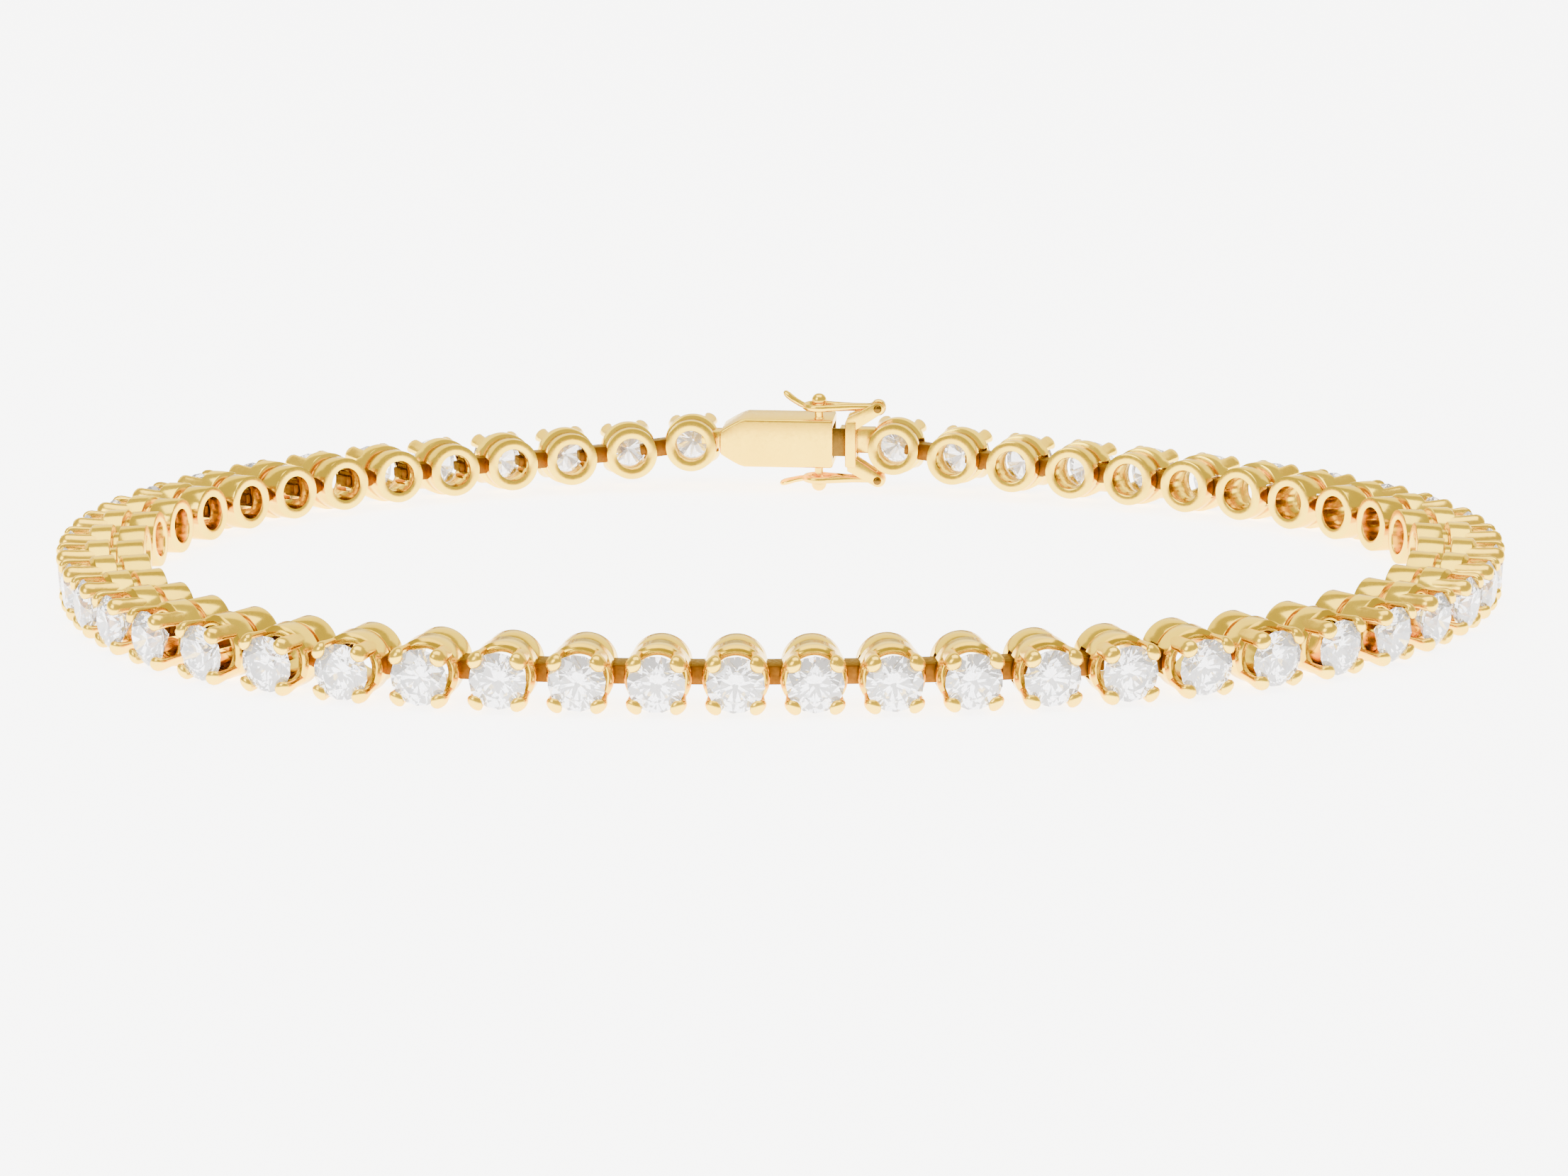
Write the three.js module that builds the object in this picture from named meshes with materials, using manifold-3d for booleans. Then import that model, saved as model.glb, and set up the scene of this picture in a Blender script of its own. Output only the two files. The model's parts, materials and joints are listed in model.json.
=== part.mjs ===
// Tennis bracelet: a closed row of round stones in tube settings, standing on its edge.
// Millimetres, Z up. The stones face outwards, the front of the loop is at -Y and the clasp at +Y.
// The row runs from -X to +X along the front.
import * as THREE from "three";
import { mergeVertices } from "three/addons/utils/BufferGeometryUtils.js";
import Module from "manifold-3d";

const wasm = await Module();
wasm.setup();

// Stone
const STONE_DIAMETER = 2.55;
const TABLE_DIAMETER = 1.43;
const CROWN_HEIGHT = 0.38;
const PAVILION_DEPTH = 1.1;

// Setting, with reaches measured along its axis from the hinge line
const GIRDLE_REACH = 2.43; // outwards
const RIM_REACH = 1.29; // inwards
const STEP_REACH = 0.15; // outwards, to the step between base ring and basket
const CLAW_COVER = 0.205; // how far the basket stands outside the stone
const CLAW_RISE = 0.22; // claw tip above the girdle
const CLAW_TIP_COVER = 0.17; // outside of a claw tip beyond the stone
const CLAW_BITE = 0.2; // inside of a claw tip over the stone
const CLAW_THICKNESS = 0.14;
const LEDGE_INSET = 0.12; // scooped edge's inner line inside the stone's outline
const SCOOP_DROP = 0.93; // basket edge between claws below the girdle
const BASKET_WALL = 0.43;
const RING_STEP = 0.12; // base ring inside the basket's outer face
const RING_WALL = 0.53;
const RING_SIDES = 12;
const CLAW_COUNT = 4;

// Row
const LEFT_LINKS = 26;
const RIGHT_LINKS = 25;
const LINK_GAP = 0.38;
const ROW_SHIFT = 3.54; // from the loop's front middle to the first link on the right
const DIP_MEAN = THREE.MathUtils.degToRad(2.8); // stones look slightly downwards
const DIP_SWING = THREE.MathUtils.degToRad(1.5); // more at the back and less at the front

// Loop outline, as shares of its half width and half depth
const DEPTH_SHARE = 0.752;
const CORNER_SHARE = 0.0195;
const LEAN_SHARE = -0.0359;
const EGG_SHARE = -0.0388;
const FLAT_SHARE = -0.029;
const TWIST_SHARE = -0.0041;
const SKEW_SHARE = 0.0085;
const LOOP_STEPS = 1440;

// Hinge tab between two links
const TAB_HEIGHT = 0.86;
const TAB_OUTER = 0.9; // outwards from the hinge line
const TAB_INNER = 0.4; // inwards
const HINGE_CLEARANCE = 0.14;
const HEAD_LIP = 0.3; // how far a loose tab's head reaches past its slot's tab
const HEAD_THICKNESS = 0.24;

// Clasp, along the row
const NECK_GAP = 0.57; // basket of the last link to the end plate
const PLATE_THICKNESS = 0.59;
const CLASP_SLIT = 0.7; // end plate to the mouth of the box
const BOX_LENGTH = 6.05;
const TIP_GAP = 0.13; // tip of the box to the basket of the first link
const TAPER_LENGTH = 1.1;

// Clasp, across the row
const BOX_HEIGHT = 2.6;
const TIP_HEIGHT = 1.2;
const PLATE_HEIGHT = 2.5;
const BOX_INNER = 1.2; // inner face, inwards from the clasp's middle
const BOX_OUTER = 1.7; // outer face, outwards
const BOX_WALL = 0.4;
const BOX_POCKET = 4.3;
const CLASP_RISE = 0.3; // clasp above the hinge points of its neighbours
const LIFT_REACH = 5.3; // how far along the row the links are lifted with the clasp

// Tongue
const LEAF_HEIGHT = 1.5;
const LEAF_THICKNESS = 0.3;
const LEAF_LENGTH = 3.3; // beyond the mouth of the box
const LEAF_CLEARANCE = 0.2;
const LEAF_SPREAD = 1.05;
const END_TAB_HEIGHT = 1.3;
const END_TAB_INNER = 0.12;

// Safety catches
const CATCH_HEIGHT = 1.95; // catch plane above and below the clasp's middle
const CATCH_INWARD = 0.5; // catch's middle line, inwards
const WIRE_DIAMETER = 0.36;
const SNAP_DIAMETER = 1.8;
const THUMB_LENGTH = 1.4;
const THUMB_WIDTH = 0.78;
const THUMB_THICKNESS = 0.3;
const UPPER_THUMB_SLOPE = THREE.MathUtils.degToRad(34);
const LOWER_THUMB_SLOPE = THREE.MathUtils.degToRad(14);
const EYE_DIAMETER = 0.84;
const EYE_WIDTH = 0.5;
const PIN_DIAMETER = 0.28;
const PIN_CLEARANCE = 0.12;
const PIN_REACH = 0.9; // from the last link's middle to the pin
const CHEEK_THICKNESS = 0.24;
const CHEEK_DIAMETER = 0.66;
const CHEEK_FOOT = 0.5; // below the top of the end plate
const CHEEK_COLLAR = 0.2; // above the top of the end plate
const SOLDER_BITE = 0.1; // how far a soldered piece is sunk into its neighbour
const STUD_INSET = 0.76; // from the mouth of the box
const STUD_REACH = 2.66; // from the clasp's middle to the end of a stud
const STUD_POST = 0.46;
const STUD_BALL = 0.8;
const STUD_FLAT = 0.3;
const STUD_SIDES = 8;
const WIRE_SIDES = 5;
const SNAP_SIDES = 12;
const EYE_SIDES = 10;

// Points closer than this are one point
const POINT_TOLERANCE = 1e-4;

// Colours
const GOLD = { color: 0xe8c887, roughness: 0.22, metalness: 1 };
const GOLD_BACK = { color: 0xdfbd7c, roughness: 0.28, metalness: 1 };

const UP = new THREE.Vector3(0, 0, 1);

// Worked out from the sizes above
const basketRadius = STONE_DIAMETER / 2 + CLAW_COVER;
const ringRadius = basketRadius - RING_STEP;
const tableRadius = TABLE_DIAMETER / 2;
const holeRadius = ringRadius - RING_WALL;
const seatRadius = basketRadius - BASKET_WALL;
const scoopReach = GIRDLE_REACH - SCOOP_DROP;
const wallMiddle = ringRadius - RING_WALL / 2;
const linkPitch = 2 * basketRadius + LINK_GAP;
const neckReach = basketRadius + NECK_GAP;
const tipReach = basketRadius + TIP_GAP;
const claspSpan = neckReach + PLATE_THICKNESS + CLASP_SLIT + BOX_LENGTH + tipReach;
const loopLength = (LEFT_LINKS + RIGHT_LINKS - 1) * linkPitch + claspSpan;
// A polygon of this swell has the same mean size as the circle it stands for
const ringSwell = 1 / Math.sqrt(Math.cos(Math.PI / RING_SIDES));
const sideReach = basketRadius * ringSwell * Math.cos(Math.PI / RING_SIDES);
const endLift = STUD_REACH - standHeight(DIP_MEAN + DIP_SWING) - CLASP_RISE;

// Height of a link's hinge line when the lowest edge of its basket lies on the surface
function standHeight(dip) {
  return sideReach * Math.cos(dip) + scoopReach * Math.sin(dip);
}

// Loop outline seen from above, for a half width of 1
class LoopOutline extends THREE.Curve {
  getPoint(share, target = new THREE.Vector3()) {
    const t = 2 * Math.PI * share;
    const across = Math.sin(t) + CORNER_SHARE * Math.sin(4 * t) + LEAN_SHARE * Math.cos(2 * t);
    const evenDepth = Math.cos(t) + EGG_SHARE * Math.cos(2 * t) + FLAT_SHARE * Math.cos(3 * t);
    const oddDepth = TWIST_SHARE * Math.sin(2 * t) + SKEW_SHARE * Math.sin(3 * t);
    return target.set(across, -DEPTH_SHARE * (evenDepth + oddDepth), 0);
  }
}
const outline = new LoopOutline();
outline.arcLengthDivisions = LOOP_STEPS;
const loopScale = loopLength / outline.getLength();

// Link numbers run from -LEFT_LINKS, next to the tip of the box, to RIGHT_LINKS - 1
const firstLink = -LEFT_LINKS;
const lastLink = RIGHT_LINKS - 1;

// Place of a link as a share of the way round the loop, from the front
function linkShare(link) {
  const along = link * linkPitch + ROW_SHIFT;
  return THREE.MathUtils.euclideanModulo(along, loopLength) / loopLength;
}

function linkDip(link) {
  return DIP_MEAN - DIP_SWING * Math.cos(2 * Math.PI * linkShare(link));
}

// Middle of a link's hinge line
function hingePoint(link) {
  const point = outline.getPointAt(linkShare(link)).multiplyScalar(loopScale);
  const fromEnd = Math.min(link - firstLink, lastLink - link) * linkPitch;
  point.z = standHeight(linkDip(link)) + endLift * Math.exp(-fromEnd / LIFT_REACH);
  return point;
}

// Frame with x forward along the row, y inwards and z up, dipped about x
function rowFrame(origin, forward, dip) {
  const x = forward.clone().normalize();
  const outward = new THREE.Vector3().crossVectors(x, UP).normalize();
  const rise = new THREE.Vector3().crossVectors(outward, x);
  const y = outward.multiplyScalar(-Math.cos(dip)).addScaledVector(rise, Math.sin(dip));
  const z = new THREE.Vector3().crossVectors(x, y);
  return new THREE.Matrix4().makeBasis(x, y, z).setPosition(origin);
}

// Closed geometry to a solid, in a frame
function solidOf(geometry, frame = new THREE.Matrix4()) {
  const bare = geometry.clone().applyMatrix4(frame);
  bare.deleteAttribute("normal");
  bare.deleteAttribute("uv");
  const merged = mergeVertices(bare, POINT_TOLERANCE);
  const corners = merged.index.array;
  const triangles = [];
  for (let i = 0; i < corners.length; i += 3) {
    const [a, b, c] = [corners[i], corners[i + 1], corners[i + 2]];
    if (a !== b && b !== c && c !== a) triangles.push(a, b, c);
  }
  return new wasm.Manifold(
    new wasm.Mesh({
      numProp: 3,
      vertProperties: new Float32Array(merged.attributes.position.array),
      triVerts: new Uint32Array(triangles),
    }),
  );
}

function joined(solids) {
  return wasm.Manifold.union(solids);
}

function block([x0, x1], [y0, y1], [z0, z1]) {
  const box = new THREE.BoxGeometry(x1 - x0, y1 - y0, z1 - z0);
  return box.translate((x0 + x1) / 2, (y0 + y1) / 2, (z0 + z1) / 2);
}

// Outline in x and z, extruded from y0 to y1
function slab(points, [y0, y1]) {
  const shape = new THREE.Shape(points.map(([x, z]) => new THREE.Vector2(x, z)));
  const body = new THREE.ExtrudeGeometry(shape, { depth: y1 - y0, bevelEnabled: false });
  return body.rotateX(Math.PI / 2).translate(0, y1, 0);
}

// Cylinder along y with its middle at a point
function barAlongY(diameter, length, sides, [x, y, z]) {
  const bar = new THREE.CylinderGeometry(diameter / 2, diameter / 2, length, sides);
  return bar.translate(x, y, z);
}

// Tube setting about y, open inwards, with its stone fused in and claws over the stone's edge
function linkGeometry() {
  const stoneRadius = STONE_DIAMETER / 2;
  const crownAt = (r) => -GIRDLE_REACH - ((stoneRadius - r) * CROWN_HEIGHT) / (stoneRadius - tableRadius);
  const pavilionAt = (r) => -GIRDLE_REACH + PAVILION_DEPTH * (1 - r / stoneRadius);
  const profile = [
    [0, pavilionAt(0)],
    [seatRadius, pavilionAt(seatRadius)],
    [holeRadius, RIM_REACH],
    [ringRadius, RIM_REACH],
    [ringRadius, -STEP_REACH],
    [basketRadius, -STEP_REACH],
    [basketRadius, -scoopReach],
    [stoneRadius - LEDGE_INSET, -scoopReach],
    [stoneRadius, -GIRDLE_REACH],
    [tableRadius, -GIRDLE_REACH - CROWN_HEIGHT],
    [0, -GIRDLE_REACH - CROWN_HEIGHT],
  ].map(([r, y]) => new THREE.Vector2(r * ringSwell, y));
  const [edgeRow, ledgeRow, girdleRow] = [6, 7, 8];
  const sideAngle = (2 * Math.PI) / RING_SIDES;
  const link = new THREE.LatheGeometry(profile.reverse(), RING_SIDES, sideAngle / 2);
  const places = link.getAttribute("position");
  const sidesPerClaw = RING_SIDES / CLAW_COUNT;
  const footRadius = stoneRadius - CLAW_BITE;
  for (let side = 1; side <= RING_SIDES; side += sidesPerClaw) {
    const angle = (side + 0.5) * sideAngle;
    const place = (row, radius, y) => {
      const vertex = side * profile.length + profile.length - 1 - row;
      places.setXYZ(vertex, radius * Math.sin(angle), y, radius * Math.cos(angle));
    };
    place(edgeRow, stoneRadius + CLAW_TIP_COVER, -GIRDLE_REACH - CLAW_RISE);
    place(ledgeRow, footRadius, crownAt(footRadius) - CLAW_THICKNESS);
    place(girdleRow, footRadius - CLAW_THICKNESS / 4, crownAt(footRadius - CLAW_THICKNESS / 4));
  }
  return link;
}

// Tab in the frame of the ring that it enters, from the middle of the wall before it
function tabSolid(frame, start, end, height = TAB_HEIGHT, inner = TAB_INNER) {
  return solidOf(block([start, end], [-TAB_OUTER, inner], [-height / 2, height / 2]), frame);
}

// Head that keeps a loose tab in its slot
function headSolid(frame, face, height = TAB_HEIGHT, inner = TAB_INNER + HEAD_LIP) {
  const length = [face, face + HEAD_THICKNESS];
  const depth = [-TAB_OUTER - HEAD_LIP, inner];
  return solidOf(block(length, depth, [-height / 2, height / 2]), frame);
}

// Clear space around a loose tab
function slotSolid(frame, start, end, height = TAB_HEIGHT, inner = TAB_INNER) {
  const halfHeight = height / 2 + HINGE_CLEARANCE;
  const depth = [-TAB_OUTER - HINGE_CLEARANCE, inner + HINGE_CLEARANCE];
  return solidOf(block([start, end], depth, [-halfHeight, halfHeight]), frame);
}

// Where a head lies behind a ring's wall, at the height of the tab's corners
function headFace(offset) {
  const corner = TAB_HEIGHT / 2 + offset;
  return -Math.sqrt(holeRadius ** 2 - corner ** 2) + HINGE_CLEARANCE;
}

// Clasp frame, halfway between its neighbours
const lastPoint = hingePoint(lastLink);
const firstPoint = hingePoint(firstLink);
const claspForward = new THREE.Vector3().subVectors(firstPoint, lastPoint);
const halfSpan = claspForward.length() / 2;
const claspMiddle = lastPoint.clone().lerp(firstPoint, 0.5).addScaledVector(UP, CLASP_RISE);
const claspFrame = rowFrame(claspMiddle, claspForward, 0);

// Places along the clasp, from its middle
const plateStart = -halfSpan + neckReach;
const plateEnd = plateStart + PLATE_THICKNESS;
const tip = halfSpan - tipReach;
const mouth = tip - BOX_LENGTH;
const studAlong = mouth + STUD_INSET;
const pinAlong = -halfSpan + PIN_REACH;

function linkFrame(link) {
  const before = link === firstLink ? claspMiddle : hingePoint(link - 1);
  const after = link === lastLink ? claspMiddle : hingePoint(link + 1);
  return rowFrame(hingePoint(link), new THREE.Vector3().subVectors(after, before), linkDip(link));
}

// Frame of the hinge at a link's slot, in line with the link before it
function hingeFrame(link) {
  const here = hingePoint(link);
  return rowFrame(here, new THREE.Vector3().subVectors(here, hingePoint(link - 1)), linkDip(link));
}

function tabStart(link) {
  return wallMiddle - hingePoint(link).distanceTo(hingePoint(link - 1));
}

// Run of links with the tabs that join them
function linkRun(from, to) {
  const geometry = linkGeometry();
  const solids = [];
  for (let link = from; link <= to; link += 1) {
    solids.push(solidOf(geometry, linkFrame(link)));
    if (link > from) solids.push(tabSolid(hingeFrame(link), tabStart(link), -wallMiddle));
  }
  return joined(solids);
}

// Left chain, with its loose tab at the front and its slot for the tip of the box
function leftChain() {
  const run = linkRun(firstLink, -1);
  const front = hingeFrame(0);
  const face = headFace(0);
  const looseTab = tabSolid(front, tabStart(0), face + HEAD_THICKNESS);
  const tipSlot = slotSolid(claspFrame, halfSpan - tipReach, halfSpan);
  return joined([run, looseTab, headSolid(front, face)]).subtract(tipSlot);
}

// Right chain, with its slot at the front and the tall tab that passes through the end plate
function rightChain() {
  const run = linkRun(0, lastLink);
  const slot = slotSolid(hingeFrame(0), -tipReach, 0);
  const headStart = plateEnd + HINGE_CLEARANCE;
  const tabEnd = headStart + HEAD_THICKNESS;
  const endTab = tabSolid(claspFrame, wallMiddle - halfSpan, tabEnd, END_TAB_HEIGHT, END_TAB_INNER);
  const endHead = headSolid(claspFrame, headStart, END_TAB_HEIGHT, END_TAB_INNER);
  return joined([run.subtract(slot), endTab, endHead]);
}

// Post with a ball end for a catch, standing on the box; side is 1 for the upper one
function studSolid(side) {
  const ballMiddle = STUD_REACH - STUD_BALL / 2;
  const ballRadius = STUD_BALL / 2;
  const neckRise = Math.sqrt(ballRadius ** 2 - (STUD_POST / 2) ** 2);
  const profile = [
    [0, BOX_HEIGHT / 2 - BOX_WALL / 2],
    [STUD_POST / 2, BOX_HEIGHT / 2 - BOX_WALL / 2],
    [STUD_POST / 2, ballMiddle - neckRise],
    [ballRadius, ballMiddle],
    [ballRadius * Math.SQRT1_2, ballMiddle + ballRadius * Math.SQRT1_2],
    [STUD_FLAT / 2, STUD_REACH],
    [0, STUD_REACH],
  ].map(([r, z]) => new THREE.Vector2(r, z));
  const stud = new THREE.LatheGeometry(profile, STUD_SIDES).rotateX((side * Math.PI) / 2);
  return solidOf(stud.translate(studAlong, CATCH_INWARD, 0), claspFrame);
}

// Hollow box with a tapered end, the studs and the tab that enters the first link
function claspBox() {
  const half = BOX_HEIGHT / 2;
  const taper = tip - TAPER_LENGTH;
  const outlinePoints = [
    [mouth, -half],
    [taper, -half],
    [tip, -TIP_HEIGHT / 2],
    [tip, TIP_HEIGHT / 2],
    [taper, half],
    [mouth, half],
  ];
  const shell = solidOf(slab(outlinePoints, [-BOX_OUTER, BOX_INNER]), claspFrame);
  const pocketHeight = half - BOX_WALL;
  const pocketDepth = [-BOX_OUTER + BOX_WALL, BOX_INNER - BOX_WALL];
  const pocket = block([mouth - BOX_WALL, mouth + BOX_POCKET], pocketDepth, [-pocketHeight, pocketHeight]);
  const ringFrame = claspFrame.clone().multiply(new THREE.Matrix4().makeTranslation(halfSpan, 0, 0));
  const face = headFace(CLASP_RISE);
  return joined([
    shell.subtract(solidOf(pocket, claspFrame)),
    tabSolid(ringFrame, -tipReach - BOX_WALL, face + HEAD_THICKNESS),
    headSolid(ringFrame, face),
    studSolid(1),
    studSolid(-1),
  ]);
}

// Cheek of a catch's hinge, from the end plate to the pin
function cheekSolid(side, middle) {
  const radius = CHEEK_DIAMETER / 2;
  const top = PLATE_HEIGHT / 2;
  const pin = side * CATCH_HEIGHT;
  const round = [];
  for (let step = 0; step <= 4; step += 1) {
    const angle = THREE.MathUtils.degToRad(60 + 45 * step);
    round.push([pinAlong + radius * Math.cos(angle), pin + side * radius * Math.sin(angle)]);
  }
  const foot = [
    [plateStart, side * (top - CHEEK_FOOT)],
    [plateEnd - SOLDER_BITE, side * (top - CHEEK_FOOT)],
    [plateEnd - SOLDER_BITE, side * (top + CHEEK_COLLAR)],
  ];
  const reach = [middle - CHEEK_THICKNESS / 2, middle + CHEEK_THICKNESS / 2];
  return solidOf(slab([...foot, ...round], reach), claspFrame);
}

// Folded spring leaf, end plate and the forked hinges of the catches
function claspTongue() {
  const plateHalf = PLATE_HEIGHT / 2;
  const plate = solidOf(
    block([plateStart, plateEnd], [-BOX_OUTER, BOX_INNER], [-plateHalf, plateHalf]),
    claspFrame,
  );
  const slotEnds = [plateStart - HINGE_CLEARANCE, plateEnd + HINGE_CLEARANCE];
  const slot = slotSolid(claspFrame, ...slotEnds, END_TAB_HEIGHT, END_TAB_INNER);
  const leafTop = BOX_INNER - BOX_WALL - LEAF_CLEARANCE;
  const leafEnd = mouth + LEAF_LENGTH;
  const leafHalf = [-LEAF_HEIGHT / 2, LEAF_HEIGHT / 2];
  const upperLeaf = block([plateEnd - SOLDER_BITE, leafEnd], [leafTop - LEAF_THICKNESS, leafTop], leafHalf);
  const tailStart = mouth + LEAF_CLEARANCE;
  const tailLow = leafTop - LEAF_SPREAD;
  const tail = new THREE.Shape([
    new THREE.Vector2(leafEnd, leafTop),
    new THREE.Vector2(tailStart, tailLow),
    new THREE.Vector2(tailStart, tailLow - LEAF_THICKNESS),
    new THREE.Vector2(leafEnd, leafTop - LEAF_THICKNESS),
  ]);
  const lowerLeaf = new THREE.ExtrudeGeometry(tail, { depth: LEAF_HEIGHT, bevelEnabled: false });
  lowerLeaf.translate(0, 0, -LEAF_HEIGHT / 2);
  const solids = [
    plate.subtract(slot),
    solidOf(upperLeaf, claspFrame),
    solidOf(lowerLeaf, claspFrame),
  ];
  const cheekOffset = EYE_WIDTH / 2 + PIN_CLEARANCE + CHEEK_THICKNESS / 2;
  const pinLength = 2 * cheekOffset + CHEEK_THICKNESS;
  for (const side of [1, -1]) {
    const pinPlace = [pinAlong, CATCH_INWARD, side * CATCH_HEIGHT];
    solids.push(
      cheekSolid(side, CATCH_INWARD - cheekOffset),
      cheekSolid(side, CATCH_INWARD + cheekOffset),
      solidOf(barAlongY(PIN_DIAMETER, pinLength, STUD_SIDES, pinPlace), claspFrame),
    );
  }
  return joined(solids);
}

// Figure-eight catch: hinge eye, bar, snap ring round the stud and thumb tab
function catchSolid(side) {
  const height = side * CATCH_HEIGHT;
  const eyePlace = [pinAlong, CATCH_INWARD, height];
  const eye = solidOf(barAlongY(EYE_DIAMETER, EYE_WIDTH, EYE_SIDES, eyePlace), claspFrame);
  const bore = PIN_DIAMETER + 2 * PIN_CLEARANCE;
  const hole = solidOf(barAlongY(bore, 2 * EYE_WIDTH, EYE_SIDES, eyePlace), claspFrame);
  const snapMiddle = (SNAP_DIAMETER - WIRE_DIAMETER) / 2;
  const barStart = pinAlong + (bore + EYE_DIAMETER) / 4;
  const barEnd = studAlong - snapMiddle;
  const bar = new THREE.CylinderGeometry(WIRE_DIAMETER / 2, WIRE_DIAMETER / 2, barEnd - barStart, WIRE_SIDES);
  bar.rotateZ(Math.PI / 2).translate((barStart + barEnd) / 2, CATCH_INWARD, height);
  const snap = new THREE.TorusGeometry(snapMiddle, WIRE_DIAMETER / 2, WIRE_SIDES, SNAP_SIDES);
  snap.translate(studAlong, CATCH_INWARD, height);
  const thumb = new THREE.CylinderGeometry(THUMB_WIDTH / 2, THUMB_WIDTH / 2, THUMB_THICKNESS, EYE_SIDES);
  thumb.rotateX(Math.PI / 2).scale(THUMB_LENGTH / THUMB_WIDTH, 1, 1);
  const slope = side > 0 ? UPPER_THUMB_SLOPE : -LOWER_THUMB_SLOPE;
  thumb.translate(THUMB_LENGTH / 2 - WIRE_DIAMETER / 4, 0, 0).rotateY(-slope);
  thumb.translate(studAlong + snapMiddle, CATCH_INWARD, height);
  return joined([
    eye.subtract(hole),
    solidOf(bar, claspFrame),
    solidOf(snap, claspFrame),
    solidOf(thumb, claspFrame),
  ]);
}

function pieceMesh(name, solid, finish) {
  const mesh = solid.simplify(POINT_TOLERANCE).getMesh();
  const geometry = new THREE.BufferGeometry();
  geometry.setAttribute("position", new THREE.BufferAttribute(mesh.vertProperties, 3));
  geometry.setIndex(new THREE.BufferAttribute(mesh.triVerts, 1));
  geometry.computeVertexNormals();
  const piece = new THREE.Mesh(geometry, new THREE.MeshStandardMaterial(finish));
  piece.name = name;
  return piece;
}

const bracelet = new THREE.Group();
bracelet.add(
  pieceMesh("chain_left", leftChain(), GOLD),
  pieceMesh("chain_right", rightChain(), GOLD),
  pieceMesh("clasp_box", claspBox(), GOLD_BACK),
  pieceMesh("clasp_tongue", claspTongue(), GOLD_BACK),
  pieceMesh("upper_catch", catchSolid(1), GOLD_BACK),
  pieceMesh("lower_catch", catchSolid(-1), GOLD_BACK),
);

// Origin at the middle of the box that holds the bracelet, on the surface it stands on
const bounds = new THREE.Box3().setFromObject(bracelet, true);
const middle = bounds.getCenter(new THREE.Vector3());
bracelet.position.set(-middle.x, -middle.y, -bounds.min.z);

export default bracelet;
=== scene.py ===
import json
import math

import bmesh
import bpy
import numpy as np
from mathutils import Matrix, Vector

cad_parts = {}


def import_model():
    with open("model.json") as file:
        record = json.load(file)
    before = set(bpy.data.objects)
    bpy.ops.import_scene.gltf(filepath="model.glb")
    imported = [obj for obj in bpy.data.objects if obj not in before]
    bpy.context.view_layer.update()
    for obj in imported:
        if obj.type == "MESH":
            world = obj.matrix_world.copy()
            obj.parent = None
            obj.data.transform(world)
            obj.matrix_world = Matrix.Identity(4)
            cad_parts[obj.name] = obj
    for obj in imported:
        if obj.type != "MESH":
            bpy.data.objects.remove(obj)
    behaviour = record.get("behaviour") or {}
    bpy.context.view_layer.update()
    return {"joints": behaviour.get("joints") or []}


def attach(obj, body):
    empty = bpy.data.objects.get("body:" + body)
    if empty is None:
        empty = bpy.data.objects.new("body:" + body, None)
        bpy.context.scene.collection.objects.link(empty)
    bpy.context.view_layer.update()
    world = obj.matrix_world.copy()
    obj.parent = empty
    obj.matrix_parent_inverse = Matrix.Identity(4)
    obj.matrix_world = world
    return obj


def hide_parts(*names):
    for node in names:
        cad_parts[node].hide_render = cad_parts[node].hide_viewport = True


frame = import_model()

# Sizes are in millimetres, and each piece is turned into metres when its mesh is made.
MM = 0.001

# Stone
STONE_RADIUS = 1.275
TABLE_SHARE = 0.56
STAR_SHARE = 0.52
LOWER_SHARE = 0.77
CROWN_HEIGHT = 0.38
PAVILION_DEPTH = 1.1
GIRDLE_HEIGHT = 0.05
BRILLIANT_FOLDS = 8
STONE_SPIN = math.radians(17)

# Setting, with reaches along its axis from the hinge line
GIRDLE_REACH = 2.43
RIM_REACH = 1.29
GROOVE_REACH = 0.15
GROOVE_HALF = 0.17
GROOVE_DEPTH = 0.3
BASKET_RADIUS = 1.48
RING_RADIUS = 1.36
HOLE_RADIUS = 0.83
SEAT_RADIUS = 1.05
SCOOP_REACH = 1.5
EDGE_BEVEL = 0.18
EDGE_EASE = 0.03
SEAT_EASE = 0.05
SEAT_FOOT = 0.5
RING_BEVEL = 0.07
BASKET_BEVEL = 0.06
GROOVE_BEVEL = 0.05
GROOVE_EASE = 0.03
SETTING_LAP = 0.05
RIM_LAP = 0.02
RIM_START = EDGE_BEVEL + EDGE_EASE - SCOOP_REACH
SETTING_SIDES = 64
CLAW_SIDES = 16
CLAW_COUNT = 4
CAD_SIDES = 12

# How far the middle of a rounded edge lies in from its corner
CORNER_CUT = 0.02

# How far a cutter runs past what it cuts
CUT_OVERRUN = 1

# Steps across the bevel of a block
BEVEL_STEPS = 2

# Row
LEFT_LINKS = 26
RIGHT_LINKS = 25
LINK_PITCH = 3.34
ROW_SHIFT = 3.54
DIP_MEAN = math.radians(2.8)
DIP_SWING = math.radians(1.5)
DEPTH_SHARE = 0.752
CORNER_SHARE = 0.0195
LEAN_SHARE = -0.0359
EGG_SHARE = -0.0388
FLAT_SHARE = -0.029
TWIST_SHARE = -0.0041
SKEW_SHARE = 0.0085
LOOP_STEPS = 1440

# Hinge tabs
TAB_HALF = 0.43
TAB_OUTER = 0.9
TAB_INNER = 0.4
TAB_SHOW = 0.27
TAB_BEVEL = 0.06
NOSE_HALF = 0.25
NOSE_LAP = 0.2
NOSE_STEP = 0.1
HINGE_CLEARANCE = 0.14

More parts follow.
